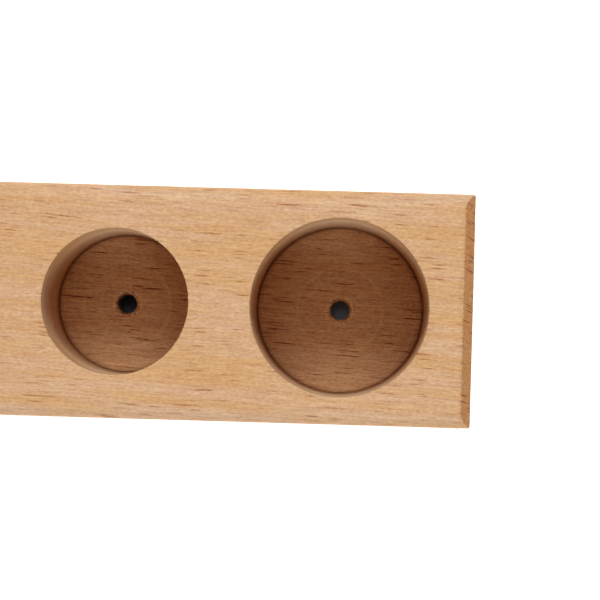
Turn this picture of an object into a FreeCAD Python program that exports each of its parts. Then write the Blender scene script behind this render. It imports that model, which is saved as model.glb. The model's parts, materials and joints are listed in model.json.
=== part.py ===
import FreeCAD
import Part
import math
import os

# Graded cylinder block: a solid beech block with a row of round, flat-floored sockets that grow
# from one end to the other, each as deep as it is wide, so that one loose cylinder fits only one
# socket. A vent hole under each socket lets the air out as the cylinder drops in. The three
# smallest cylinders stand in their sockets, each with a turned knob on a fluted dowel pin. The
# two widest sockets stand empty.
#
# Millimetres. X runs along the block towards the widest socket, Y across it and Z up. The origin
# is the middle of the block's underside.

# Driving dimensions of the block
CYLINDER_WIDTHS = [15.0, 25.0, 35.0, 45.0, 55.0]  # each cylinder is as tall as it is wide
SEATED_WIDTHS = [15.0, 25.0, 35.0]  # the cylinders that stand in their sockets
SOCKET_PLAY = 0.4  # gap all round a seated cylinder
WEB = 19.2  # wood left between two neighbouring sockets
END_MARGIN = 13.7  # wood left between the last socket and the end face
BLOCK_WIDTH = 73.0
BLOCK_HEIGHT = 65.0

# Edges of the block
LONG_EDGE_WIDTH = 5.5  # the soft round-over along both long top edges, measured across the top
LONG_EDGE_DROP = 3.4  # and measured down the side
END_CHAMFER = 3.3  # flat 45 degree bevel on both top end edges
BASE_CHAMFER = 0.6
CORNER_RADIUS = 0.8

# What the boring bit leaves in a socket
RIM_EASE = 0.3
SPUR_GROOVE_WIDTH = 0.8  # the V that the bit's sharp rim scores round the floor
SPUR_GROOVE_DEPTH = 0.6
VENT_DIAMETER = 6.2
VENT_EASE = 0.3

# Cylinders, knobs and dowel pins
CYLINDER_BEVEL = 0.8
DOWEL_DIAMETER = 5.0
DOWEL_LENGTH = 20.0
DOWEL_CHAMFER = 0.6
DOWEL_END_GAP = 0.5  # room for glue past each end of the pin
FLUTE_COUNT = 8
FLUTE_DEPTH = 0.4
KNOB_FOOT_RADIUS = 5.8
KNOB_FOOT_HEIGHT = 1.6
KNOB_NECK_RADIUS = 4.3
KNOB_NECK_TOP = 9.6  # all knob heights are above the cylinder's top face
KNOB_HEAD_RADIUS = 7.2
KNOB_HEAD_FOOT = 12.8
KNOB_HEAD_TOP = 17.6
KNOB_CROWN_RADIUS = 3.8  # of the small flat on top
KNOB_HEIGHT = 20.8

# Sizes that follow
SOCKET_RADII = [width / 2 + SOCKET_PLAY for width in CYLINDER_WIDTHS]
BLOCK_LENGTH = 2 * sum(SOCKET_RADII) + WEB * (len(SOCKET_RADII) - 1) + 2 * END_MARGIN
DOWEL_BORE_DEPTH = DOWEL_LENGTH / 2 + DOWEL_END_GAP
OVERRUN = 1.0  # how far a cutting tool runs past the face that it opens

UP = FreeCAD.Vector(0, 0, 1)
ORIGIN = FreeCAD.Vector(0, 0, 0)


def socket_centres():
    """X of each socket's axis: the row starts END_MARGIN from the end face, with WEB between rims."""
    centres = []
    rim = END_MARGIN - BLOCK_LENGTH / 2
    for radius in SOCKET_RADII:
        centres.append(rim + radius)
        rim += 2 * radius + WEB
    return centres


def line(start, end):
    return Part.LineSegment(start, end).toShape()


def arc(start, middle, end):
    return Part.Arc(start, middle, end).toShape()


def loop(points):
    """A closed face with straight sides through the points."""
    return Part.Face(Part.makePolygon(points + points[:1]))


def turned(outline):
    """The solid that a closed outline of (radius, height) points sweeps round the Z axis."""
    return loop([FreeCAD.Vector(radius, 0, height) for radius, height in outline]).revolve(
        ORIGIN, UP, 360
    )


# ---- block ----


def long_profile():
    """Cross-section of the block: flat sides, eased base and a soft round-over at the top.

    The round-over starts tangent to the top and meets the side in a slight arris, as a cutter
    set a little high leaves it, so its radius follows from its width and its drop.
    """
    half = BLOCK_WIDTH / 2
    radius = (LONG_EDGE_WIDTH**2 + LONG_EDGE_DROP**2) / (2 * LONG_EDGE_DROP)
    half_angle = math.asin(LONG_EDGE_WIDTH / radius) / 2
    start = half - LONG_EDGE_WIDTH
    middle = start + radius * math.sin(half_angle)
    middle_height = BLOCK_HEIGHT - radius * (1 - math.cos(half_angle))

    def point(y, z):
        return FreeCAD.Vector(0, y, z)

    right_arc = arc(
        point(half, BLOCK_HEIGHT - LONG_EDGE_DROP),
        point(middle, middle_height),
        point(start, BLOCK_HEIGHT),
    )
    left_arc = arc(
        point(-start, BLOCK_HEIGHT),
        point(-middle, middle_height),
        point(-half, BLOCK_HEIGHT - LONG_EDGE_DROP),
    )
    base = [
        point(-half, BLOCK_HEIGHT - LONG_EDGE_DROP),
        point(-half, BASE_CHAMFER),
        point(-half + BASE_CHAMFER, 0),
        point(half - BASE_CHAMFER, 0),
        point(half, BASE_CHAMFER),
        point(half, BLOCK_HEIGHT - LONG_EDGE_DROP),
    ]
    edges = [line(a, b) for a, b in zip(base, base[1:])]
    edges += [right_arc, line(point(start, BLOCK_HEIGHT), point(-start, BLOCK_HEIGHT)), left_arc]
    return Part.Face(Part.Wire(edges))


def end_profile():
    """Side view of the block: a 45 degree bevel on each top end edge and an eased base."""
    half = BLOCK_LENGTH / 2
    right = [
        (half - BASE_CHAMFER, 0),
        (half, BASE_CHAMFER),
        (half, BLOCK_HEIGHT - END_CHAMFER),
        (half - END_CHAMFER, BLOCK_HEIGHT),
    ]
    left = [(-x, z) for x, z in reversed(right)]
    return loop([FreeCAD.Vector(x, 0, z) for x, z in right + left])


def blank():
    """The block before boring: what its cross-section, side view and plan have in common."""
    along = long_profile()
    along.translate(FreeCAD.Vector(-BLOCK_LENGTH / 2, 0, 0))
    along = along.extrude(FreeCAD.Vector(BLOCK_LENGTH, 0, 0))
    across = end_profile()
    across.translate(FreeCAD.Vector(0, -BLOCK_WIDTH / 2, 0))
    across = across.extrude(FreeCAD.Vector(0, BLOCK_WIDTH, 0))
    corner = FreeCAD.Vector(-BLOCK_LENGTH / 2, -BLOCK_WIDTH / 2, 0)
    plan = Part.makeBox(BLOCK_LENGTH, BLOCK_WIDTH, BLOCK_HEIGHT, corner)
    uprights = [edge for edge in plan.Edges if abs(edge.tangentAt(edge.FirstParameter).z) > 0.5]
    plan = plan.makeFillet(CORNER_RADIUS, uprights)
    return along.common(across).common(plan)


def socket_cutter(radius, depth):
    """What the boring bit and the vent drill take out: an eased rim, a straight wall, the spur's
    V groove round a flat floor, and a vent hole eased where it leaves the floor."""
    floor = BLOCK_HEIGHT - depth
    vent = VENT_DIAMETER / 2
    outline = [
        (0, BLOCK_HEIGHT + OVERRUN),
        (radius + RIM_EASE + OVERRUN, BLOCK_HEIGHT + OVERRUN),
        (radius, BLOCK_HEIGHT - RIM_EASE),
        (radius, floor),
        (radius - SPUR_GROOVE_WIDTH / 2, floor - SPUR_GROOVE_DEPTH),
        (radius - SPUR_GROOVE_WIDTH, floor),
        (vent + VENT_EASE, floor),
        (vent, floor - VENT_EASE),
        (vent, -OVERRUN),
        (0, -OVERRUN),
    ]
    return turned(outline)


def socket_block():
    cutters = []
    for centre, radius, depth in zip(socket_centres(), SOCKET_RADII, CYLINDER_WIDTHS):
        cutter = socket_cutter(radius, depth)
        cutter.translate(FreeCAD.Vector(centre, 0, 0))
        cutters.append(cutter)
    return blank().cut(cutters)


# ---- cylinder, knob and dowel pin, each drawn with Z = 0 at the cylinder's top face ----


def cylinder(width):
    """A turned cylinder with bevelled rims and a blind bore for the pin in its top."""
    radius = width / 2
    bore = DOWEL_DIAMETER / 2
    outline = [
        (0, -width),
        (radius - CYLINDER_BEVEL, -width),
        (radius, CYLINDER_BEVEL - width),
        (radius, -CYLINDER_BEVEL),
        (radius - CYLINDER_BEVEL, 0),
        (bore, 0),
        (bore, -DOWEL_BORE_DEPTH),
        (0, -DOWEL_BORE_DEPTH),
    ]
    return turned(outline)


def knob():
    """A turned finger knob: a flared foot, a straight neck and a drum head that fingertips can
    hook under, tapered in to a small flat crown. A blind bore takes the pin."""
    bore = DOWEL_DIAMETER / 2
    outline = [
        (bore, 0),
        (KNOB_FOOT_RADIUS, 0),
        (KNOB_NECK_RADIUS, KNOB_FOOT_HEIGHT),
        (KNOB_NECK_RADIUS, KNOB_NECK_TOP),
        (KNOB_HEAD_RADIUS, KNOB_HEAD_FOOT),
        (KNOB_HEAD_RADIUS, KNOB_HEAD_TOP),
        (KNOB_CROWN_RADIUS, KNOB_HEIGHT),
        (0, KNOB_HEIGHT),
        (0, DOWEL_BORE_DEPTH),
        (bore, DOWEL_BORE_DEPTH),
    ]
    return turned(outline)


def dowel():
    """A glue dowel: a pin with bevelled ends and V flutes cut along it."""
    radius = DOWEL_DIAMETER / 2
    half = DOWEL_LENGTH / 2
    pin = turned(
        [
            (0, -half),
            (radius - DOWEL_CHAMFER, -half),
            (radius, DOWEL_CHAMFER - half),
            (radius, half - DOWEL_CHAMFER),
            (radius - DOWEL_CHAMFER, half),
            (0, half),
        ]
    )
    below = -half - OVERRUN
    wedge = loop(
        [
            FreeCAD.Vector(radius - FLUTE_DEPTH, 0, below),
            FreeCAD.Vector(radius + FLUTE_DEPTH, -2 * FLUTE_DEPTH, below),
            FreeCAD.Vector(radius + FLUTE_DEPTH, 2 * FLUTE_DEPTH, below),
        ]
    ).extrude(UP * (DOWEL_LENGTH + 2 * OVERRUN))
    flutes = []
    for index in range(FLUTE_COUNT):
        flute = wedge.copy()
        flute.rotate(ORIGIN, UP, 360 * index / FLUTE_COUNT)
        flutes.append(flute)
    return pin.cut(flutes)


def main():
    nodes = {"socket_block": socket_block()}
    for centre, width in zip(socket_centres(), CYLINDER_WIDTHS):
        if width not in SEATED_WIDTHS:
            continue
        name = f"cylinder_{width:.0f}"
        seat = FreeCAD.Vector(centre, 0, BLOCK_HEIGHT)
        for node, shape in (
            (name, cylinder(width)),
            (f"{name}_knob", knob()),
            (f"{name}_dowel", dowel()),
        ):
            shape.translate(seat)
            nodes[node] = shape

    os.makedirs("parts", exist_ok=True)
    print(f"block {BLOCK_LENGTH:.1f} x {BLOCK_WIDTH:.1f} x {BLOCK_HEIGHT:.1f}")
    print("socket axes at X", [round(x, 2) for x in socket_centres()])
    for node, shape in nodes.items():
        if not shape.isValid() or not shape.isClosed():
            raise RuntimeError(f"{node} is not a closed, valid solid")
        shape.exportStep(f"parts/{node}.step")
        box = shape.BoundBox
        print(
            f"{node}: {len(shape.Solids)} solid, {shape.Volume / 1000:.2f} cm3, "
            f"z {box.ZMin:.2f} to {box.ZMax:.2f}"
        )


main()
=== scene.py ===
# %% [markdown]
# # A graded cylinder block, bored and turned in beech
#
# The block is one solid length of steamed beech with a row of round sockets. The sockets grow
# along the row, and each is as deep as it is wide, so that a loose cylinder fits only its own.
# Three small cylinders stand in their sockets and are lifted by turned knobs. The two widest
# sockets are open, and there you look down past a smooth wall to a flat floor with a vent hole.
#
# Everything here is wood, so two things make the looks: soft, exact edges, and a wood figure that
# runs through the solid, as it does in a real block. The shapes are numpy grids, because every
# surface of this object is either a swept line or a turned profile. The wood is one solid
# pattern in three dimensions, so the streaks on the top, the long flecks on the sides and the
# fine rays on the ends all belong to the same tree.

# %% Load the measured frame
import json
import math

import bmesh
import bpy
import numpy as np
from mathutils import Matrix, Vector


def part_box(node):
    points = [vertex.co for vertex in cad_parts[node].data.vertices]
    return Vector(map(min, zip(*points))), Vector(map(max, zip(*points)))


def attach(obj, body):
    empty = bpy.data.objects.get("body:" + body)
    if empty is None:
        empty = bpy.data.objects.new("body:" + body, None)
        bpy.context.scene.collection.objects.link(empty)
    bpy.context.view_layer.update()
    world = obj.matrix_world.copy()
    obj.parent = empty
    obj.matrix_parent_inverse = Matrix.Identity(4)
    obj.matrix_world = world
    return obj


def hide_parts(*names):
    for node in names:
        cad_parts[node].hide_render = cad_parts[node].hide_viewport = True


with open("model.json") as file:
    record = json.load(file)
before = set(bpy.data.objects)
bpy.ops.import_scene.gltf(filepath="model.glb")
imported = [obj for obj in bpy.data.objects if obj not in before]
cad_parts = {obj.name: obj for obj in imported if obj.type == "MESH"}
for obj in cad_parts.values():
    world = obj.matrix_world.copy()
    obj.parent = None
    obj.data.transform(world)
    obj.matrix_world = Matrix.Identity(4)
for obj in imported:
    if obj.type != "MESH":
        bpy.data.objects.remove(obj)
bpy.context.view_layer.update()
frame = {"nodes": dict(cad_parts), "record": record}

MM = 0.001

# %% [markdown]
# ## Read the sizes from the frame
#
# Nothing is measured twice. The block's corners come from its node, the open sockets from the
# mounts in the record, and the filled sockets from the cylinders that stand in them. One number
# joins them: the play between a cylinder and its socket, which an open socket's radius gives
# away, because its name says how wide its cylinder is.

# %% Sockets and block
BLOCK_LOW, BLOCK_HIGH = (np.array(corner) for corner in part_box("socket_block"))
HALF_LENGTH, HALF_WIDTH, BLOCK_TOP = BLOCK_HIGH
MOUNTS = {mount["name"]: mount for mount in frame["record"]["mounts"]}
OPEN_SOCKETS = [name for name in MOUNTS if name.startswith("socket_")]
SEATED = sorted(
    name for name in frame["nodes"] if name.startswith("cylinder_") and name.count("_") == 1
)


def nominal_radius(name):
    """Half the width that the number at the end of a name gives in millimetres."""
    return int(name.split("_")[1]) * MM / 2


PLAY = MOUNTS["socket_55"]["dims"]["r_mm"] * MM - nominal_radius("socket_55")
SOCKETS = [(MOUNTS[name]["pos_m"][0], nominal_radius(name)) for name in OPEN_SOCKETS]
for name in SEATED:
    low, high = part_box(name)
    SOCKETS.append(((low.x + high.x) / 2, nominal_radius(name)))
SOCKETS = sorted((centre, radius + PLAY, 2 * radius) for centre, radius in SOCKETS)
for centre, radius, depth in SOCKETS:
    print(f"socket at x {centre / MM:.0f}: radius {radius / MM:.1f}, depth {depth / MM:.0f} mm")

# %% [markdown]
# ## Place the camera
#
# The block is looked at from almost straight above, from a point over the web between the two
# open sockets and a little in front of the row. A long lens keeps the sockets round, yet it still
# lets you see the far walls of each socket. A camera is easiest to place as a builder would: say
# where the eye is, what it looks at, and how far the picture is turned.

# %% Camera
WIDEST_X = MOUNTS["socket_55"]["pos_m"][0]
EYE_HEIGHT = 766 * MM  # above the top face
EYE_PLAN = (WIDEST_X + 2.9 * MM, -13.4 * MM)
AIM_PLAN = (WIDEST_X - 12.3 * MM, 2.0 * MM)
EYE = Vector((*EYE_PLAN, BLOCK_TOP + EYE_HEIGHT))
LOOKED_AT = Vector((*AIM_PLAN, BLOCK_TOP))
PICTURE_TURN = math.radians(1.66)
LENS_MM = 148.0


def look(camera, eye, target, turn):
    """Points a camera straight down, or nearly so, with its picture turned about the view line.

    The right and up directions are the cross products of the view line with a level direction,
    which is +Y turned by the given angle.
    """
    ahead = (target - eye).normalized()
    level = Vector((-math.sin(turn), math.cos(turn), 0))
    right = ahead.cross(level).normalized()
    up = right.cross(ahead)
    camera.matrix_world = Matrix((
        (right.x, up.x, -ahead.x, eye.x),
        (right.y, up.y, -ahead.y, eye.y),
        (right.z, up.z, -ahead.z, eye.z),
        (0, 0, 0, 1),
    ))


camera = bpy.data.objects.new("camera", bpy.data.cameras.new("camera"))
bpy.context.scene.collection.objects.link(camera)
camera.data.lens = LENS_MM
look(camera, EYE, LOOKED_AT, PICTURE_TURN)
bpy.context.scene.camera = camera
print(f"camera {EYE_HEIGHT / MM:.0f} mm above the block, {LENS_MM:.0f} mm lens")

# %% [markdown]
# ## Light it from two sides
#
# Two broad softboxes face the row, a high one behind it and a lower one in front, with a small
# one above the first, and the room is dim. That is the usual way to show a hollow thing: almost
# nothing shines straight down, so the sockets' floors are lit by light that has bounced off
# wooden walls. It takes on their colour at every bounce, and so the floors come out deep and
# reddish. The near side of each floor catches the high lamps past the opposite rim.
#
# A face that looks up should come out at the colour that it was given. For that, all the light
# on it has to add up to one, so each lamp is given its share of that. A lamp of this size is not
# a point: the light of one watt is summed over a grid of its face, and the power follows.

# %% World and lamps
WORLD_SHARE = 0.06
SOFTBOXES = {  # azimuth and elevation in degrees, width and height in metres, share of the light
    "softbox_back": (89, 41, 0.62, 0.60, 0.47),
    "softbox_high": (89, 74, 0.40, 0.45, 0.035),
    "softbox_front": (-86, 35, 0.62, 0.66, 0.33),
}
SOFTBOX_DISTANCE = 1.1
LIT_POINT = Vector((0.06, 0, BLOCK_TOP))  # between the open sockets, where the lamps aim
LAMP_CELLS = 40  # along each side of a lamp's face


def share_of_one_watt(towards, side, up, width, height):
    """The light that one watt brings to a face that looks up.

    The lamp's face is cut into cells. Each adds radiance x area x (cosine at the block) x
    (cosine at the lamp) / (distance squared), and dividing by pi gives the share.
    """
    across = (np.arange(LAMP_CELLS) + 0.5) / LAMP_CELLS - 0.5
    a, b = (part.reshape(-1, 1) for part in np.meshgrid(across * width, across * height))
    cells = np.array(towards) * SOFTBOX_DISTANCE + a * np.array(side) + b * np.array(up)
    reach = np.linalg.norm(cells, axis=1)
    at_block = cells[:, 2] / reach
    at_lamp = cells @ np.array(towards) / reach
    radiance = 1 / (math.pi * width * height)
    cell_area = width * height / len(cells)
    return float(np.sum(radiance * cell_area * at_block * at_lamp / reach**2) / math.pi)


def softbox(name, azimuth, elevation, width, height, share):
    """A lamp aimed at the sockets, strong enough to add its share to a face that looks up."""
    level = math.cos(math.radians(elevation))
    towards = Vector((
        level * math.cos(math.radians(azimuth)),
        level * math.sin(math.radians(azimuth)),
        math.sin(math.radians(elevation)),
    ))
    side = Vector((0, 0, 1)).cross(towards).normalized()
    up = towards.cross(side)
    lamp = bpy.data.lights.new(name, "AREA")
    lamp.shape = "RECTANGLE"
    lamp.size = width
    lamp.size_y = height
    lamp.energy = share / share_of_one_watt(towards, side, up, width, height)
    holder = bpy.data.objects.new(name, lamp)
    aim = Matrix((side, up, towards)).transposed().to_4x4()
    holder.matrix_world = Matrix.Translation(LIT_POINT + towards * SOFTBOX_DISTANCE) @ aim
    holder.visible_camera = False
    bpy.context.scene.collection.objects.link(holder)
    print(f"{name}: {lamp.energy:.1f} W")


world = bpy.data.worlds.new("light_tent")
bpy.context.scene.world = world
world.use_nodes = True
world.node_tree.nodes.clear()
bpy.context.scene.view_settings.view_transform = "Standard"
for name, setting in SOFTBOXES.items():
    softbox(name, *setting)
total = WORLD_SHARE + sum(setting[-1] for setting in SOFTBOXES.values())
print(f"light on a face that looks up: {total:.2f}")

# %% [markdown]
# ## Helpers for materials
#
# A wood shader is a long chain of small steps. A few helpers keep it readable: the first adds a
# node, sets its choices and feeds its inputs with numbers or with other nodes' outputs, and the
# others wrap the nodes that are used over and over.

# %% Node helpers


def add(tree, kind, inputs=None, **choices):
    """Adds a node. inputs maps a socket's name or number to a value or another node's output."""
    node = tree.nodes.new(kind)
    for choice, value in choices.items():
        setattr(node, choice, value)
    for key, value in (inputs or {}).items():
        if isinstance(value, bpy.types.NodeSocket):
            tree.links.new(value, node.inputs[key])
        else:
            node.inputs[key].default_value = value
    return node


def calc(tree, operation, *values, clamp=False):
    """A Math node's output."""
    inputs = dict(enumerate(values))
    return add(tree, "ShaderNodeMath", inputs, operation=operation, use_clamp=clamp).outputs[0]


def scaled(tree, vector, scale, shift=(0.0, 0.0, 0.0)):
    """A vector stretched along each axis, then shifted."""
    mapping = add(tree, "ShaderNodeMapping", {"Vector": vector, "Scale": scale, "Location": shift})
    return mapping.outputs["Vector"]


def components(tree, vector):
    """The three parts of a vector."""
    return add(tree, "ShaderNodeSeparateXYZ", {0: vector}).outputs


def attribute(tree, name):
    """The number that the mesh carries at each point under that name."""
    return add(tree, "ShaderNodeAttribute", attribute_name=name).outputs["Fac"]


def ramp(tree, value, low, high, start=0.0, end=1.0):
    """start at low and below, end at high and above, and an S-shaped rise between them."""
    inputs = {"Value": value, "From Min": low, "From Max": high, "To Min": start, "To Max": end}
    node = add(tree, "ShaderNodeMapRange", inputs, interpolation_type="SMOOTHSTEP")
    return node.outputs["Result"]


def blended(tree, factor, first, second, how="MIX"):
    """The second colour over the first by the factor, which may also run past 0 and 1."""
    inputs = {0: factor, 6: first, 7: second}  # a Mix node's sockets for colours
    choices = {"data_type": "RGBA", "blend_type": how, "clamp_factor": False}
    return add(tree, "ShaderNodeMix", inputs, **choices).outputs[2]


def tinted(tree, colour, tint):
    """A colour multiplied by a tint."""
    return blended(tree, 1.0, colour, tint, "MULTIPLY")


def grey(level):
    """A neutral colour of that linear level."""
    return (level, level, level, 1.0)


def painted(red, green, blue):
    """A colour given as 0 to 255 in display values, turned into the linear values of a shader."""
    shown = np.array([red, green, blue]) / 255
    linear = np.where(shown <= 0.04045, shown / 12.92, ((shown + 0.055) / 1.055) ** 2.4)
    return (*linear.tolist(), 1.0)


def new_material(name):
    """An empty node material with its output node."""
    material = bpy.data.materials.new(name)
    material.use_nodes = True
    material.node_tree.nodes.clear()
    return material, material.node_tree, add(material.node_tree, "ShaderNodeOutputMaterial")


print("node helpers ready")

# %% [markdown]
# ## Stand it on a white table
#
# The table is a plain diffuse sheet. To the light it is an ordinary pale card, which sends a
# little light back up the block's sides. To the camera it is brighter than that, so the open
# sheet is white and only the closest, darkest part of the block's shadow shows. Far from the
# lamps a card would turn grey, so there it goes over into the plain white of the backdrop. Under
# the block the camera sees painted shade: the card is a dim grey-blue there, and the vents show
# it.

# %% Table and backdrop
TABLE_HALF = 4.0
TABLE_ALBEDO = 0.72
TABLE_SHOWN = 2.4
TABLE_LIT = (0.45, 0.90)  # metres from the block where the sheet starts and ends turning white
# painted shade: the dim colour that the camera sees on the card under the block
CARD_PAINTED_SHADE = (0.60, 0.70, 0.78, 1.0)
UNDER_INSET = 3 * MM  # how far inside the block's outline the card counts as under it


def table_material():
    """A pale card to the light, a brighter one to the camera with painted shade under the block,
    and plain white far away.
    """
    material, tree, output = new_material("white_card")
    path = add(tree, "ShaderNodeLightPath").outputs
    seen = calc(tree, "MAXIMUM", path["Is Camera Ray"], path["Is Glossy Ray"])
    seen = calc(tree, "MAXIMUM", seen, path["Is Transmission Ray"])
    place = add(tree, "ShaderNodeTexCoord").outputs["Object"]
    x, y, _ = components(tree, place)
    under = 1.0
    for part, half in ((x, HALF_LENGTH), (y, HALF_WIDTH)):
        part = calc(tree, "ABSOLUTE", part)
        inside = calc(tree, "LESS_THAN", part, float(half) - UNDER_INSET)
        under = calc(tree, "MULTIPLY", under, inside)
    open_card = blended(tree, seen, grey(TABLE_ALBEDO), grey(TABLE_SHOWN))
    # Painted shade: under the block the camera sees the card at this dim colour.
    colour = blended(tree, under, open_card, CARD_PAINTED_SHADE)
    surface = add(tree, "ShaderNodeBsdfDiffuse", {"Color": colour})
    away = add(tree, "ShaderNodeVectorMath", {0: place}, operation="LENGTH").outputs["Value"]
    far = calc(tree, "MULTIPLY", ramp(tree, away, *TABLE_LIT), seen)
    white = add(tree, "ShaderNodeEmission", {"Color": grey(1.0), "Strength": 1.0})
    mixed = add(tree, "ShaderNodeMixShader", {0: far, 1: surface.outputs[0], 2: white.outputs[0]})
    tree.links.new(mixed.outputs[0], output.inputs["Surface"])
    return material


def make_table():
    """One square sheet at the height that the block stands on."""
    plan = [(-1, -1), (1, -1), (1, 1), (-1, 1)]
    corners = [(x * TABLE_HALF, y * TABLE_HALF, BLOCK_LOW[2]) for x, y in plan]
    mesh = bpy.data.meshes.new("table")
    mesh.from_pydata(corners, [], [(0, 1, 2, 3)])
    table = bpy.data.objects.new("table", mesh)
    bpy.context.scene.collection.objects.link(table)
    mesh.materials.append(table_material())


def world_surface():
    """A dim, even sky to light the wood, which the camera sees as plain white."""
    tree = world.node_tree
    path = add(tree, "ShaderNodeLightPath").outputs
    seen = calc(tree, "MAXIMUM", path["Is Camera Ray"], path["Is Transmission Ray"])
    strength = calc(tree, "MULTIPLY_ADD", seen, 1.0 - WORLD_SHARE, WORLD_SHARE)
    sky = add(tree, "ShaderNodeBackground", {"Color": grey(1.0), "Strength": strength})
    output = add(tree, "ShaderNodeOutputWorld")
    tree.links.new(sky.outputs[0], output.inputs["Surface"])


make_table()
world_surface()
print(f"table {2 * TABLE_HALF:.0f} m square")

# %% [markdown]
# ## The wood
#
# Beech has no bold figure. What you see is a pale, warm ground with very fine streaks along the
# grain, soft bands where the saw crosses a year's growth, and the rays: thin sheets of cells that
# run from the middle of the trunk outwards. Cut across, a ray sheet shows as a short dark dash.
# Cut along, it is a broad silky fleck, and on the end of a log it is a fine line towards the
# pith.
#
# A picture of wood wrapped round the block would break at every edge. Instead, each point of the
# solid gets the place that it had in the trunk: how far along the grain, how far from the pith,
# and how far round it. Noise and cells in those three directions then give every cut its right
# look, also down inside the sockets.

# %% Where a point was in the trunk
WANDERS = [  # mm that the grain strays, and how long, wide and deep such a wave is
    (1.2, (60.0, 25.0, 30.0)),
    (0.16, (9.0, 4.0, 6.0)),
]


def trunk_place(tree, grain, middle, pith, slope):
    """(place, distance from the pith), both in mm and as node outputs.

    The object's coordinates become millimetres from the piece's middle, with the grain turned to
    the first axis and the pith at the origin. A slow noise makes the grain wander, and a short
    one makes it ripple. The place round the trunk is the angle about the pith times the middle's
    distance from it.
    """
    coordinates = add(tree, "ShaderNodeTexCoord").outputs["Object"]
    centred = scaled(tree, coordinates, (1 / MM,) * 3, tuple(-part / MM for part in middle))
    placed = add(tree, "ShaderNodeMapping", {
        "Vector": centred,
        "Rotation": (0.0, math.pi / 2 if grain == "Z" else 0.0, math.radians(slope)),
        "Location": (0.0, -pith[0], -pith[1]),
    }).outputs[0]
    bent = placed
    for reach, lump in WANDERS:
        wave = scaled(tree, placed, tuple(1 / size for size in lump))
        inputs = {"Vector": wave, "Scale": 1.0, "Detail": 3.0}
        stray = add(tree, "ShaderNodeTexNoise", inputs).outputs["Color"]
        stray = scaled(tree, stray, (0.0, 2 * reach, 2 * reach), (0.0, -reach, -reach))
        bent = add(tree, "ShaderNodeVectorMath", {0: bent, 1: stray}, operation="ADD").outputs[0]
    along, across, out = components(tree, bent)
    flat = add(tree, "ShaderNodeCombineXYZ", {1: across, 2: out}).outputs[0]
    distance = add(tree, "ShaderNodeVectorMath", {0: flat}, operation="LENGTH").outputs["Value"]
    around = calc(tree, "MULTIPLY", calc(tree, "ARCTAN2", across, out), math.hypot(*pith))
    place = add(tree, "ShaderNodeCombineXYZ", {0: along, 1: around, 2: distance}).outputs[0]
    return place, distance


# %% [markdown]
# The rays come from cells. A Voronoi texture drops one point in each cell of a stretched grid,
# and the distance to it, in stretched units, makes a lens-shaped dash. Each cell's random colour
# decides whether it holds a ray, as most do, and how dark it is: only a few are really dark. Two
# layers with different sizes keep the dashes from looking like one stamp.

# %% Rays and year rings
LONG_RAYS = (22.0, 1.3, 9.0)  # mm along the grain, round the trunk and out from the pith
LONG_RAY_START = (3.1, 7.7, 1.3)  # where in the endless pattern this layer starts
SHORT_RAYS = (12.0, 0.95, 6.0)
SHORT_RAY_START = (11.0, 2.2, 5.4)
RAY_SHARE = 0.80  # of the cells hold a ray
RAY_SCATTER = 0.85
RAY_EDGE = (0.05, 0.29)  # how far from its point, in cells, a dash starts and ends fading
FAINTEST_RAY = 0.20
RING_WIDTH = 3.1  # mm
RING_SWAY = 1.6  # rings
RING_WAVES = (90.0, 14.0, 6.0)
DENSE_WOOD = (0.25, 0.93)  # where in a ring the wood starts to get dense, and is densest


def rays(tree, place, size, shift):
    """Strength of the rays, 0 to 1: dashes in a share of the cells, each with its own depth."""
    cells = scaled(tree, place, tuple(1 / step for step in size), shift)
    inputs = {"Vector": cells, "Scale": 1.0, "Randomness": RAY_SCATTER}
    voronoi = add(tree, "ShaderNodeTexVoronoi", inputs)
    dash = ramp(tree, voronoi.outputs["Distance"], *RAY_EDGE, 1.0, 0.0)
    luck = add(tree, "ShaderNodeSeparateColor", {0: voronoi.outputs["Color"]}).outputs[0]
    bare = 1 - RAY_SHARE
    inputs = {"Value": luck, "From Min": bare, "To Min": FAINTEST_RAY}
    depth = add(tree, "ShaderNodeMapRange", inputs).outputs["Result"]
    depth = calc(tree, "MULTIPLY", depth, calc(tree, "GREATER_THAN", luck, bare))
    return calc(tree, "MULTIPLY", dash, depth, clamp=True)


def noise(tree, place, size, detail, shift=(0.0, 0.0, 0.0)):
    """Noise from 0 to 1 whose lumps are as long as size along each direction of the place."""
    vector = scaled(tree, place, tuple(1 / step for step in size), shift)
    inputs = {"Vector": vector, "Scale": 1.0, "Detail": detail, "Roughness": 0.55}
    return add(tree, "ShaderNodeTexNoise", inputs).outputs[0]


def year_rings(tree, place, distance):
    """0 in a year's early wood, rising slowly to 1 at its dense end, then falling back at once."""
    sway = calc(tree, "MULTIPLY", noise(tree, place, RING_WAVES, 2.0), RING_SWAY)
    turns = calc(tree, "ADD", calc(tree, "DIVIDE", distance, RING_WIDTH), sway)
    part = calc(tree, "FRACT", turns)
    rise = ramp(tree, part, *DENSE_WOOD)
    fall = ramp(tree, part, DENSE_WOOD[1], 1.0, 1.0, 0.0)
    return calc(tree, "MULTIPLY", rise, fall)


print(f"rays lie in {RAY_SHARE:.0%} of their cells")

# %% [markdown]
# Whatever is denser is darker, so the figure is one darkness. The rays make one sum, and fibres,
# pores and rings make a second, finer one. A fixed amount is taken off each sum, which leaves the
# wood between the rays and fibres paler than the ground.

# %% The figure's darkness
FIBRES = (10.0, 0.56, 0.8)
PORES = (1.3, 0.50, 0.5)
PORE_START = (5.0, 3.0, 8.0)
FIBRE_DEPTH = 0.52
PORE_DEPTH = 0.54
RING_DEPTH = 0.12
BETWEEN_FIBRES = -0.58
LONG_RAY_DEPTH = 0.54
SHORT_RAY_DEPTH = 0.52
BETWEEN_RAYS = -0.06


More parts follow.
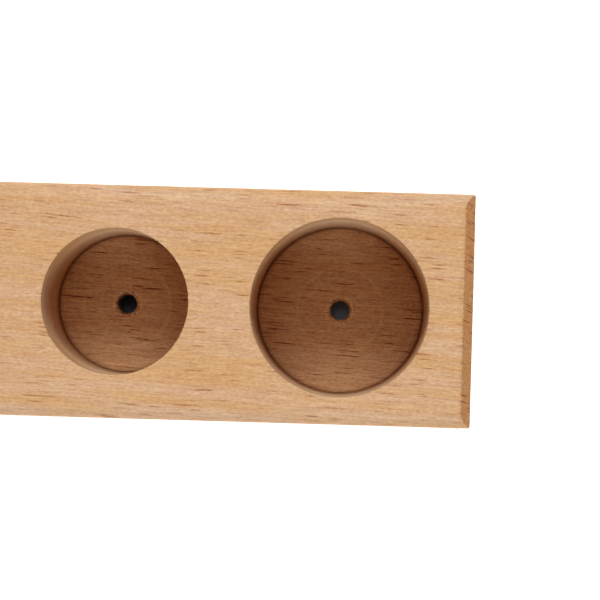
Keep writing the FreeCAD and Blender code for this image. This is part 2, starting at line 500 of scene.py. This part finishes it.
def wood_figure(tree, place, distance, ring_depth):
    """(darkness of the rays, darkness of everything finer, the fibres alone)."""
    fibre = noise(tree, place, FIBRES, 2.0)
    pore = noise(tree, place, PORES, 1.0, PORE_START)
    rings = year_rings(tree, place, distance)
    finer = calc(tree, "MULTIPLY_ADD", fibre, FIBRE_DEPTH, BETWEEN_FIBRES)
    finer = calc(tree, "MULTIPLY_ADD", pore, PORE_DEPTH, finer)
    finer = calc(tree, "MULTIPLY_ADD", rings, RING_DEPTH * ring_depth, finer)
    long_ray = rays(tree, place, LONG_RAYS, LONG_RAY_START)
    short_ray = rays(tree, place, SHORT_RAYS, SHORT_RAY_START)
    ray = calc(tree, "MULTIPLY_ADD", long_ray, LONG_RAY_DEPTH, BETWEEN_RAYS)
    ray = calc(tree, "MULTIPLY_ADD", short_ray, SHORT_RAY_DEPTH, ray)
    return ray, finer, fibre


print("beech: long rays in cells of", LONG_RAYS, "mm, year rings every", RING_WIDTH, "mm")

# %% [markdown]
# Boring leaves its own marks, and the mesh tells the shader where: each of its points carries its
# distance from the bore's axis, and its depth in the groove that the bit's rim scores. On the
# floors, left as the cutter made them, the figure stands out more. On the walls the rim has
# burnished it, so it is calm, with faint level bands. Deep down, a wall is painted paler and
# greyer, a painted light that lifts the shade there. Round a vent the fibres are broken. The
# groove, the foot of the wall beside it and the vent's edge are darkened with painted shade.

# %% Marks of the boring bit, and painted light and shade in the bores
PINK_GROUND = painted(216, 168, 128)
HONEY_GROUND = painted(214, 161, 109)
FLOOR_TINT = (1.04, 1.03, 0.98, 1.0)
RIM_TINT = (0.93, 1.03, 0.93, 1.0)
# Painted light: this tint makes deep walls paler and greyer, to lift the shade deep in a socket.
DEEP_WALL_LIGHTENING = (1.05, 1.28, 1.56, 1.0)
DEEP_WALL = (46.0 * MM, 60.0 * MM)  # heights where a wall starts and ends turning into a rim
FLOOR_CONTRAST = 0.70
WALL_CALM = 0.65
GROOVE_CALM = 0.7
BORED_FROM = (0.5, 1.5)  # mm from an axis: no bored face lies nearer
BROKEN_FIBRES = (3.6, 5.4)  # mm from an axis
CHIP = (0.9 * MM, 0.7 * MM, 0.9 * MM)
CHIP_DEPTH = (2.2, -1.2)
TOOL_RING = 14.2  # mm from an axis
TOOL_RING_EDGE = (0.1, 0.8)
TOOL_RING_DEPTH = -0.07
WALL_BAND = (10.0, 10.0, 4.2 * MM)  # far wider than the block, so only the height counts
WALL_BAND_DEPTH = 2.4
# Painted shade: a dark colour laid over the scored groove, the foot of the wall beside it and the
# vent's edge.
PAINTED_SHADE_COLOUR = (0.40, 0.29, 0.22, 1.0)
VENT_SHADE_REACH = (3.05, 4.5)  # mm from an axis
VENT_SHADE_DEPTH = 0.95
GROOVE_SHADE_DEPTH = 0.7


def bored_place(tree, facing):
    """What a point knows of its bore, as a dict of node outputs.

    radius is the distance from the axis in mm, and groove the depth in the scored groove, or the
    painted shade beside it, from 0 to 1. cut is 1 on bored wood and 0 elsewhere. level is 1 where
    a face looks up or down, and upright is 1 on a bore's wall.
    """
    radius = attribute(tree, "bore_radius")
    cut = ramp(tree, radius, *BORED_FROM)
    level = calc(tree, "ABSOLUTE", facing[2])
    return {
        "radius": radius,
        "groove": attribute(tree, "groove"),
        "cut": cut,
        "level": level,
        "upright": calc(tree, "MULTIPLY", cut, calc(tree, "SUBTRACT", 1.0, level)),
        "coordinates": add(tree, "ShaderNodeTexCoord").outputs["Object"],
    }


def bored_ground(tree, bore, ground):
    """The ground's colour, evened out in a bore and tinted as a floor, a rim or a painted-light
    deep wall.
    """
    height = components(tree, bore["coordinates"])[2]
    # Painted light: walls turn paler and greyer the deeper they lie.
    wall = blended(tree, ramp(tree, height, *DEEP_WALL), DEEP_WALL_LIGHTENING, RIM_TINT)
    bore_tint = blended(tree, bore["level"], wall, FLOOR_TINT)
    even = blended(tree, 0.5, ground, PINK_GROUND)
    return blended(tree, bore["cut"], ground, tinted(tree, even, bore_tint))


def bored_contrast(tree, bore, contrast):
    """(how much the rays show, how much all darkness shows) with the bit's work counted in."""
    calm = calc(tree, "MULTIPLY_ADD", bore["upright"], -WALL_CALM, 1.0)
    contrast = calc(tree, "MULTIPLY", contrast, calm)
    floor = calc(tree, "MULTIPLY", bore["cut"], bore["level"])
    strength = calc(tree, "MULTIPLY_ADD", floor, FLOOR_CONTRAST, contrast)
    unscored = calc(tree, "MULTIPLY_ADD", bore["groove"], -GROOVE_CALM, 1.0)
    return contrast, calc(tree, "MULTIPLY", strength, unscored)


def cutter_marks(tree, bore):
    """Darkness that the bit adds.

    Round the vent the fibres are broken, some of them pale. One faint ring stays where two
    cutters of the bit overlap, and the wall has level bands.
    """
    chips = noise(tree, bore["coordinates"], CHIP, 2.0)
    broken = ramp(tree, bore["radius"], *BROKEN_FIBRES, 1.0, 0.0)
    broken = calc(tree, "MULTIPLY", broken, bore["cut"])
    chipped = calc(tree, "MULTIPLY", calc(tree, "MULTIPLY_ADD", chips, *CHIP_DEPTH), broken)
    beside = calc(tree, "ABSOLUTE", calc(tree, "SUBTRACT", bore["radius"], TOOL_RING))
    ring = ramp(tree, beside, *TOOL_RING_EDGE, 1.0, 0.0)
    ring = calc(tree, "MULTIPLY", ring, TOOL_RING_DEPTH)
    bands = noise(tree, bore["coordinates"], WALL_BAND, 1.0)
    bands = calc(tree, "MULTIPLY_ADD", bands, WALL_BAND_DEPTH, -WALL_BAND_DEPTH / 2)
    bands = calc(tree, "MULTIPLY", bands, bore["upright"])
    return calc(tree, "ADD", calc(tree, "ADD", chipped, ring), bands)


def bore_painted_shade(tree, bore):
    """How much painted shade darkens the wood, 0 to 1: in the scored groove and beside it, and in
    the vent and round its edge.
    """
    vent = ramp(tree, bore["radius"], *VENT_SHADE_REACH, VENT_SHADE_DEPTH, 0.0)
    vent = calc(tree, "MULTIPLY", vent, bore["cut"])
    return calc(tree, "MAXIMUM", calc(tree, "MULTIPLY", bore["groove"], GROOVE_SHADE_DEPTH), vent)


print("the bit's tool ring lies", TOOL_RING, "mm from each socket's axis")

# %% [markdown]
# Colour comes last. The ground drifts between a pinkish and a honey tone in narrow bands, because
# steamed beech is never one colour. Dense wood is not only darker but also redder, so the darkness
# takes more from the green than from the red, and more still from the blue. End grain is darker
# too, though less so where the bit has cut it. How squarely a face cuts the grain is the
# component of its own normal along it.

# %% The beech material
BANDS = (50.0, 3.6, 7.0)
BAND_EDGE = (0.34, 0.66)
DARKNESS_TINT = (0.54, 0.21, 0.0, 1.0)
TINT_PER_DARKNESS = 2.0
DARKEST = 0.36
END_FACING = (0.15, 0.95)
END_TINT = (0.69, 0.42, 0.13, 1.0)
BORED_END_TINT = (0.81, 0.60, 0.38, 1.0)
END_CONTRAST = 0.6
SATIN = 0.42
FIBRE_ROUGHNESS = 0.16
FIGURE_RELIEF = 0.08 * MM


def beech(name, grain="X", middle=(0.0, 0.0, 0.0), pith=(-84.0, -210.0), slope=0.0,
          ring_depth=0.1, bored=False):
    """Steamed beech with a thin satin oil.

    pith is the way from the piece's middle to the trunk's pith in mm, slope the angle in degrees
    between the grain and the piece, and ring_depth how plainly the year rings show.
    """
    material, tree, output = new_material(name)
    place, distance = trunk_place(tree, grain, middle, pith, slope)
    ray, finer, fibre = wood_figure(tree, place, distance, ring_depth)
    drift = ramp(tree, noise(tree, place, BANDS, 3.0), *BAND_EDGE)
    ground = blended(tree, drift, PINK_GROUND, HONEY_GROUND)
    facing = components(tree, add(tree, "ShaderNodeTexCoord").outputs["Normal"])
    end_grain = ramp(tree, calc(tree, "ABSOLUTE", facing["XYZ".index(grain)]), *END_FACING)
    contrast = strength = calc(tree, "MULTIPLY_ADD", end_grain, END_CONTRAST, 1.0)
    end_tint = END_TINT
    if bored:
        bore = bored_place(tree, facing)
        ground = bored_ground(tree, bore, ground)
        contrast, strength = bored_contrast(tree, bore, contrast)
        finer = calc(tree, "ADD", finer, cutter_marks(tree, bore))
        end_tint = blended(tree, bore["cut"], END_TINT, BORED_END_TINT)

    darkness = calc(tree, "MULTIPLY_ADD", ray, contrast, finer)
    darkness = calc(tree, "MULTIPLY", calc(tree, "MINIMUM", darkness, DARKEST), strength)
    tint = calc(tree, "MULTIPLY", darkness, TINT_PER_DARKNESS)
    colour = blended(tree, tint, ground, tinted(tree, ground, DARKNESS_TINT))
    colour = blended(tree, end_grain, colour, tinted(tree, colour, end_tint))
    if bored:
        # Painted shade in the groove, beside it and round the vent.
        colour = blended(tree, bore_painted_shade(tree, bore), colour, tinted(tree, colour, PAINTED_SHADE_COLOUR))

    height = calc(tree, "MULTIPLY", darkness, -1.0)
    relief = {"Strength": 0.35, "Distance": FIGURE_RELIEF, "Height": height}
    surface = add(tree, "ShaderNodeBsdfPrincipled", {
        "Base Color": colour,
        "Roughness": calc(tree, "MULTIPLY_ADD", fibre, FIBRE_ROUGHNESS, SATIN),
        "Specular IOR Level": 0.35,
        "Sheen Weight": 0.22,
        "Sheen Tint": (1.0, 0.90, 0.70, 1.0),
        "Sheen Roughness": 0.5,
        "Normal": add(tree, "ShaderNodeBump", relief).outputs[0],
    })
    tree.links.new(surface.outputs[0], output.inputs["Surface"])
    return material


block_beech = beech("block_beech", middle=(0.0, 0.0, BLOCK_TOP), slope=2.6, bored=True)
print("made", block_beech.name)

# %% [markdown]
# ## Helpers for surfaces
#
# Every surface below is a grid: rows run one way over it and columns the other. A patch is one
# such grid, a piece is several patches whose edges share the same points, and welding those
# points closes the skin. Turned work starts as a profile of straight lines. Its corners are then
# eased: each is cut back to where an arc of the wanted radius touches both lines.

# %% Grid and profile helpers
UNMARKED = (0.0, 0.0)
WELD_REACH = 0.002 * MM
SHARP_ANGLE = math.radians(38)
NEARLY_STRAIGHT = math.radians(89)  # half the angle between a corner's two lines


def grid_quads(rows, columns, closed):
    """Corner numbers of a grid's quads. A closed grid's last column joins its first."""
    number = np.arange(rows * columns).reshape(rows, columns)
    right = np.roll(number, -1, axis=1)
    quads = np.stack([number[:-1], right[:-1], right[1:], number[1:]], axis=-1)
    return (quads if closed else quads[:, :-1]).reshape(-1, 4)


def build(name, patches, body, material, stands_for):
    """Welds patches into one closed mesh, turns its faces outwards and hands it to the frame.

    A patch is (points, closed, marks), with points as rows by columns by 3. marks has two numbers
    for each row: its distance from its bore's axis in mm, which is zero where nothing was bored,
    and how deep it lies in a scored groove or how near it, where painted shade falls, from 0 to 1.
    """
    points, quads, marks, offset = [], [], [], 0
    for patch, closed, patch_marks in patches:
        rows, columns, _ = patch.shape
        points.append(patch.reshape(-1, 3))
        quads.append(grid_quads(rows, columns, closed) + offset)
        spread = np.broadcast_to(np.reshape(patch_marks, (-1, 1, 2)), (rows, columns, 2))
        marks.append(spread.reshape(-1, 2))
        offset += rows * columns
    points, quads = np.concatenate(points), np.concatenate(quads)
    mesh = bpy.data.meshes.new(name)
    mesh.from_pydata(points, [], quads)
    for mark, values in zip(("bore_radius", "groove"), np.concatenate(marks).T):
        mesh.attributes.new(mark, "FLOAT", "POINT").data.foreach_set("value", values.copy())
    weld = bmesh.new()
    weld.from_mesh(mesh)
    bmesh.ops.remove_doubles(weld, verts=weld.verts, dist=WELD_REACH)
    bmesh.ops.recalc_face_normals(weld, faces=weld.faces)
    open_edges = sum(not edge.is_manifold for edge in weld.edges)
    weld.to_mesh(mesh)
    weld.free()
    mesh.shade_smooth()
    mesh.set_sharp_from_angle(angle=SHARP_ANGLE)
    piece = bpy.data.objects.new(name, mesh)
    bpy.context.scene.collection.objects.link(piece)
    mesh.materials.append(material)
    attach(piece, body)
    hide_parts(stands_for)
    triangles = sum(len(face.vertices) - 2 for face in mesh.polygons)
    print(f"{name}: {triangles} triangles, {open_edges} open edges")


def eased(corners, steps=5):
    """A profile of (radius, height, ease) corners with each corner rounded by its own radius.

    At a corner that turns by an angle t, an arc of radius e touches both lines at a distance
    e tan(t / 2) from the corner. Its points are the corner's bisector point plus e times the
    directions between the two normals.
    """
    corners = np.array(corners, float)
    profile = [corners[:1, :2]]
    for before, corner, after in zip(corners, corners[1:], corners[2:]):
        here, ease = corner[:2], corner[2]
        back = (before[:2] - here) / np.linalg.norm(before[:2] - here)
        on = (after[:2] - here) / np.linalg.norm(after[:2] - here)
        half_gap = math.acos(float(np.clip(back @ on, -1, 1))) / 2
        if ease == 0 or half_gap > NEARLY_STRAIGHT:
            profile.append(here[None])
            continue
        reach = ease / math.tan(half_gap)
        start, end = here + back * reach, here + on * reach
        middle = here + (back + on) / np.linalg.norm(back + on) * ease / math.sin(half_gap)
        share = np.linspace(0, 1, steps + 1)[:, None]
        spokes = (1 - share) * (start - middle) + share * (end - middle)
        profile.append(middle + spokes / np.linalg.norm(spokes, axis=1)[:, None] * ease)
    profile.append(corners[-1:, :2])
    return np.concatenate(profile)


def filled(profile, longest):
    """The profile with points added so that no stretch is longer than the given length."""
    parts = []
    for start, end in zip(profile, profile[1:]):
        count = max(1, math.ceil(np.linalg.norm(end - start) / longest))
        parts.append(start + (end - start) * np.arange(count)[:, None] / count)
    return np.concatenate(parts + [profile[-1:]])


def turned(profile, angles, centre):
    """A profile carried round an upright axis: point = centre + radius (cos a, sin a), height."""
    radius, height = profile[:, 0, None], profile[:, 1, None]
    x = centre + radius * np.cos(angles)
    y = radius * np.sin(angles)
    return np.stack([x, y, np.broadcast_to(height, x.shape)], axis=-1)


print("surface helpers ready")

# %% [markdown]
# ## The block's skin
#
# The top is cut into cells, one round each socket. In a cell, lines run from the socket's rim out
# to the cell's straight sides, so the rim is a true circle and neighbouring cells still share
# their border points. Round the cells lies a frame of strips, where the top falls away: a soft
# round-over along the length and a flat bevel across the ends. The height is one formula over
# the plan, the larger of the two falls, so the mitre at each corner comes out by itself.

# %% The plan of the top
ROUND_OVER_WIDTH = 5.5 * MM
ROUND_OVER_DROP = 3.4 * MM
END_BEVEL = 3.3 * MM
BEVEL_EASE = 0.5 * MM
MITRE_EASE = 0.3 * MM
SIDE_ARRIS = 0.1 * MM
CORNER_RADIUS = 0.8 * MM
BASE_BEVEL = 0.6 * MM
END_STRIP = END_BEVEL + 0.9 * MM
LONG_STRIP = ROUND_OVER_WIDTH + 0.5 * MM
CELL_SIDE_POINTS = 50
CELL_POINT_SPACING = 1.4 * MM


def soft_max(first, second, reach):
    """The larger of two values, with the crossing rounded where they differ by less than reach."""
    near = np.maximum(reach - np.abs(first - second), 0)
    return np.maximum(first, second) + near**2 / (4 * reach)


def top_height(x, y):
    """The block's height over a point of the plan.

    Along the length the fall is that of an arc, R - sqrt(R^2 - s^2), at a distance s past the
    arc's start. At an end it equals the distance past the bevel's start. The larger one holds,
    and the mitre where they meet is slightly eased.
    """
    arc = (ROUND_OVER_WIDTH**2 + ROUND_OVER_DROP**2) / (2 * ROUND_OVER_DROP)
    past = np.clip(np.abs(y) - (HALF_WIDTH - ROUND_OVER_WIDTH), 0, ROUND_OVER_WIDTH)
    long_fall = arc - np.sqrt(arc**2 - past**2)
    end_fall = soft_max(np.abs(x) - (HALF_LENGTH - END_BEVEL), 0.0 * x, BEVEL_EASE)
    mitred = soft_max(long_fall, end_fall, MITRE_EASE) * (end_fall > 0)
    return BLOCK_TOP - np.maximum(long_fall, mitred)


def cell_borders():
    """X of the lines between the cells: midway between neighbouring rims, and the end strips."""
    middles = [
        (left[0] + left[1] + right[0] - right[1]) / 2
        for left, right in zip(SOCKETS, SOCKETS[1:])
    ]
    end = HALF_LENGTH - END_STRIP
    return [-end, *middles, end]


BORDERS = cell_borders()
CELL_HALF_WIDTH = HALF_WIDTH - LONG_STRIP
CELL_X = [
    np.linspace(low, high, 1 + math.ceil((high - low) / CELL_POINT_SPACING))
    for low, high in zip(BORDERS, BORDERS[1:])
]
CELL_Y = np.linspace(-CELL_HALF_WIDTH, CELL_HALF_WIDTH, CELL_SIDE_POINTS + 1)
print("cells meet at x", np.round(np.array(BORDERS) / MM, 1).tolist(), "mm")

# %% [markdown]
# The same plan serves the top, the sides and the underside, only drawn in by a different inset.
# The strips' lines are therefore kept as shares from 0 at the cells to 1 at the outline, and each
# level stretches them to its own outline. The four upright corners are rounded by the classic
# map from a square to a quarter disc: a point in the corner's square is pulled in along its ray
# by the longer of its two sides over its distance.

# %% Strips and outline
BEVEL_START = 0.36  # share of an end strip where the bevel has taken over
END_SHARES = np.concatenate([
    np.linspace(0, BEVEL_START, 11)[:-1],
    np.linspace(BEVEL_START, 1, 10),
])
LONG_SHARES = np.linspace(0, 1, 22)


def plan_lines(inset):
    """All X and all Y lines of the plan at a level whose outline is drawn in by inset."""
    end, side = HALF_LENGTH - inset, HALF_WIDTH - inset
    x_out = BORDERS[-1] + END_SHARES * (end - BORDERS[-1])
    y_out = CELL_HALF_WIDTH + LONG_SHARES * (side - CELL_HALF_WIDTH)
    x_middle = np.concatenate([line[1:] for line in CELL_X])[:-1]
    x = np.concatenate([-x_out[::-1], x_middle, x_out])
    y = np.concatenate([-y_out[::-1], CELL_Y[1:-1], y_out])
    return x, y


def round_corners(x, y, inset):
    """Pulls the points of each corner's square onto a quarter disc."""
    radius = CORNER_RADIUS - inset
    past_x = np.maximum(np.abs(x) - (HALF_LENGTH - inset - radius), 0)
    past_y = np.maximum(np.abs(y) - (HALF_WIDTH - inset - radius), 0)
    reach = np.hypot(past_x, past_y)
    pull = np.where(reach > 0, np.maximum(past_x, past_y) / np.maximum(reach, 1e-12), 1.0)
    return (
        x - np.sign(x) * past_x * (1 - pull),
        y - np.sign(y) * past_y * (1 - pull),
    )


def level_patches(inset, height):
    """The four strips of the plan at one level; height is a function of x and y."""
    x_lines, y_lines = plan_lines(inset)
    ends, sides = len(END_SHARES), len(LONG_SHARES)
    spans = [
        (x_lines, y_lines[:sides]),
        (x_lines, y_lines[-sides:]),
        (x_lines[:ends], y_lines[sides - 1:-sides + 1]),
        (x_lines[-ends:], y_lines[sides - 1:-sides + 1]),
    ]
    patches = []
    for x_span, y_span in spans:
        x, y = round_corners(*np.meshgrid(x_span, y_span), inset)
        patches.append((np.stack([x, y, height(x, y)], axis=-1), False, UNMARKED))
    return patches


def rectangle_loop(x, y):
    """Points along a rectangle's sides, anticlockwise from its lower left, as (x, y) rows."""
    return np.concatenate([
        np.stack([x[:-1], np.full(len(x) - 1, y[0])], axis=1),
        np.stack([np.full(len(y) - 1, x[-1]), y[:-1]], axis=1),
        np.stack([x[:0:-1], np.full(len(x) - 1, y[-1])], axis=1),
        np.stack([np.full(len(y) - 1, x[0]), y[:0:-1]], axis=1),
    ])


def outline(inset):
    """The closed outline of a level, with its corners rounded, as (x, y) rows."""
    loop = rectangle_loop(*plan_lines(inset))
    return np.stack(round_corners(loop[:, 0], loop[:, 1], inset), axis=1)


print("outline has", len(outline(0.0)), "points")

# %% [markdown]
# A boring bit leaves its own signature. Its sharp rim scores a fine V round the floor, just ahead
# of the cutters that clear it, and the drill that makes the vent breaks the floor's fibres, so
# that edge is softened. All of it is one turned profile per socket. The sides of the block are
# the outline itself, repeated down the height and drawn in at the base.

# %% Sockets, sides and base
RIM_EASE = 0.3 * MM
GROOVE_WIDTH = 0.8 * MM
GROOVE_DEPTH = 0.6 * MM
GROOVE_ROOT = 0.1 * MM
GROOVE_EDGE = 0.05 * MM
GROOVE_SHADE_REACH = 1.5 * MM  # how far from the groove the painted shade still shows
GROOVE_SHADE_STRENGTH = 0.7
VENT_RADIUS = 3.1 * MM
VENT_EASE = 0.3 * MM
CELL_ROWS = 9
CELL_CROWDING = 0.7  # below 1, a ring's rows lie closer together near its last one
BORE_SPACING = 3.0 * MM
RIM_UNCUT = 0.05 * MM  # the height of the rim that still counts as top face
ARRIS_STEPS = ((SIDE_ARRIS, 0.0), (0.03 * MM, 0.08 * MM), (0.0, 0.25 * MM))  # inset, drop
SIDE_STEPS = (0.02, 0.3, 0.6, 0.9, 0.98, 1)  # shares of the way down a side
BASE_INSETS = (0.2 * MM, 0.4 * MM, BASE_BEVEL)


def socket_profile(radius, depth):
    """Rim, wall, groove, floor and vent of one socket, from the top face to the underside."""
    floor = BLOCK_TOP - depth
    corners = [
        (radius + 2 * RIM_EASE, BLOCK_TOP, 0),
        (radius, BLOCK_TOP, RIM_EASE),
        (radius, floor + GROOVE_SHADE_REACH, 0),
        (radius, floor, 0),
        (radius - GROOVE_WIDTH / 2, floor - GROOVE_DEPTH, GROOVE_ROOT),
        (radius - GROOVE_WIDTH, floor, GROOVE_EDGE),
        (radius - GROOVE_WIDTH - GROOVE_SHADE_REACH, floor, 0),
        (VENT_RADIUS, floor, VENT_EASE),
        (VENT_RADIUS, BLOCK_LOW[2], 0),
    ]
    return eased(corners)


def ring_patch(outer, inner, rows, height):
    """Straight lines from each outer point to its inner partner, cut into rows."""
    share = (np.linspace(0, 1, rows) ** CELL_CROWDING)[:, None, None]
    plan = (1 - share) * outer + share * inner
    return np.concatenate([plan, np.full(plan.shape[:2] + (1,), height)], axis=-1)


def socket_patches(index):
    """The top of a cell, its socket down to the vent, and the underside of the cell."""
    centre, radius, depth = SOCKETS[index]
    border = rectangle_loop(CELL_X[index], CELL_Y)
    angles = np.arctan2(border[:, 1], border[:, 0] - centre)
    profile = filled(socket_profile(radius, depth), BORE_SPACING)
    bore = turned(profile, angles, centre)
    top = ring_patch(border, bore[0, :, :2], CELL_ROWS, BLOCK_TOP)
    base = ring_patch(bore[-1, :, :2], border, CELL_ROWS, BLOCK_LOW[2])
    distance, level = profile.T
    deep = BLOCK_TOP - depth - level
    beside = np.hypot(radius - GROOVE_WIDTH / 2 - distance, deep)
    # Painted shade beside the groove: the groove mark is raised near it, and the shader darkens
    # it.
    shaded_beside_groove = GROOVE_SHADE_STRENGTH * np.clip(1 - beside / GROOVE_SHADE_REACH, 0, 1) * (distance > radius / 2)
    marks = np.column_stack([
        np.where(level < BLOCK_TOP - RIM_UNCUT, distance / MM, 0),
        np.maximum(np.clip(deep / GROOVE_DEPTH, 0, 1), shaded_beside_groove),
    ])
    return [(top, True, UNMARKED), (bore, True, marks), (base, True, UNMARKED)]


def side_patch():
    """The upright sides: rows of the outline, eased under the top's arris and at the base."""
    top_row = top_height(*outline(SIDE_ARRIS).T)
    levels = [(inset, top_row - drop) for inset, drop in ARRIS_STEPS]
    levels += [(0.0, top_row + (BASE_BEVEL - top_row) * share) for share in SIDE_STEPS]
    levels += [(inset, 0 * top_row + BASE_BEVEL - inset) for inset in BASE_INSETS]
    return np.stack([np.column_stack([outline(inset), height]) for inset, height in levels])


patches = [patch for index in range(len(SOCKETS)) for patch in socket_patches(index)]
patches += level_patches(SIDE_ARRIS, top_height)
patches += level_patches(BASE_BEVEL, lambda x, y: 0 * x + BLOCK_LOW[2])
patches.append((side_patch(), True, UNMARKED))
build("bored_block", patches, "block", block_beech, "socket_block")

# %% [markdown]
# ## Cylinders and knobs
#
# The cylinders are cut from turned rod, so their grain stands upright: their tops show the year
# rings as arcs and the rays as fine spokes. Each has its own place in the trunk, because no two
# rods come from the same spot. The knob is turned too, with a flared foot, a straight neck and a
# drum head that the fingertips hook under. A dowel joins the two, so both have a blind bore.

# %% Turned pieces
DOWEL_LOW, DOWEL_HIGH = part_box(f"{SEATED[0]}_dowel")
BORE_RADIUS = 2.5 * MM
BORE_END_GAP = 0.5 * MM
CYLINDER_BEVEL = 0.8 * MM
CYLINDER_EASE = 0.5 * MM
FOOT_RADIUS = 5.8 * MM
NECK_RADIUS = 4.3 * MM
CROWN_RADIUS = 3.8 * MM
CYLINDER_SPACING = 1.5 * MM
KNOB_SPACING = 0.7 * MM
TURN_ANGLES = np.linspace(0, 2 * np.pi, 160, endpoint=False)


def cylinder_profile(low, high):
    """From the middle of the base, up the wall and down into the dowel's bore."""
    radius = (high.x - low.x) / 2
    bevel = CYLINDER_BEVEL
    bore_floor = DOWEL_LOW.z - BORE_END_GAP
    corners = [
        (0, low.z, 0),
        (radius - bevel, low.z, CYLINDER_EASE),
        (radius, low.z + bevel, CYLINDER_EASE),
        (radius, high.z - bevel, CYLINDER_EASE),
        (radius - bevel, high.z, CYLINDER_EASE),
        (BORE_RADIUS, high.z, 0),
        (BORE_RADIUS, bore_floor, 0),
        (0, bore_floor, 0),
    ]
    return filled(eased(corners, steps=4), CYLINDER_SPACING)


def knob_profile(low, high):
    """From the bore's roof, down the bore, out over the foot and up to the crown."""
    head = (high.x - low.x) / 2
    foot = low.z
    bore_roof = DOWEL_HIGH.z + BORE_END_GAP
    corners = [
        (0, bore_roof, 0),
        (BORE_RADIUS, bore_roof, 0),
        (BORE_RADIUS, foot, 0),
        (FOOT_RADIUS, foot, 0.15 * MM),
        (NECK_RADIUS, foot + 1.6 * MM, 1.6 * MM),
        (NECK_RADIUS, foot + 9.6 * MM, 5.5 * MM),
        (head, foot + 12.8 * MM, 2.4 * MM),
        (head, foot + 17.6 * MM, 3.2 * MM),
        (CROWN_RADIUS, high.z, 5.0 * MM),
        (0, high.z, 0),
    ]
    return filled(eased(corners, steps=8), KNOB_SPACING)


def turned_piece(name, profile, material, node, body):
    """One turned solid standing on its node's own axis."""
    low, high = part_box(node)
    surface = turned(profile(low, high), TURN_ANGLES, (low.x + high.x) / 2)
    build(name, [(surface, True, UNMARKED)], body, material, node)


for order, node in enumerate(SEATED):
    low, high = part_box(node)
    axis = ((low.x + high.x) / 2, 0.0, high.z)
    body = node.replace("cylinder", "knobbed")
    width = node.split("_")[1]
    rod_pith = (-14.0 - 9 * order, 26.0 + 8 * order)
    knob_pith = (33.0 - 8 * order, -17.0 - 5 * order)
    rod = beech(f"cylinder_beech_{width}", "Z", axis, rod_pith, ring_depth=1.0)
    knob_wood = beech(f"knob_beech_{width}", "Z", axis, knob_pith, ring_depth=1.0)
    turned_piece(f"rod_{width}", cylinder_profile, rod, node, body)
    turned_piece(f"knob_{width}", knob_profile, knob_wood, f"{node}_knob", body)

# %% [markdown]
# ## Dowels
#
# The dowels sit out of sight inside the cylinders and knobs, and their CAD solids already have
# the flutes that let the glue run. They only need their wood: plain beech with upright grain.

# %% Dress the dowels
dowel_wood = beech("dowel_beech", "Z", pith=(90.0, 60.0), ring_depth=0.6)
for node in SEATED:
    pin = frame["nodes"][f"{node}_dowel"]
    pin.data.materials.clear()
    pin.data.materials.append(dowel_wood)
print("dressed", len(SEATED), "dowels")
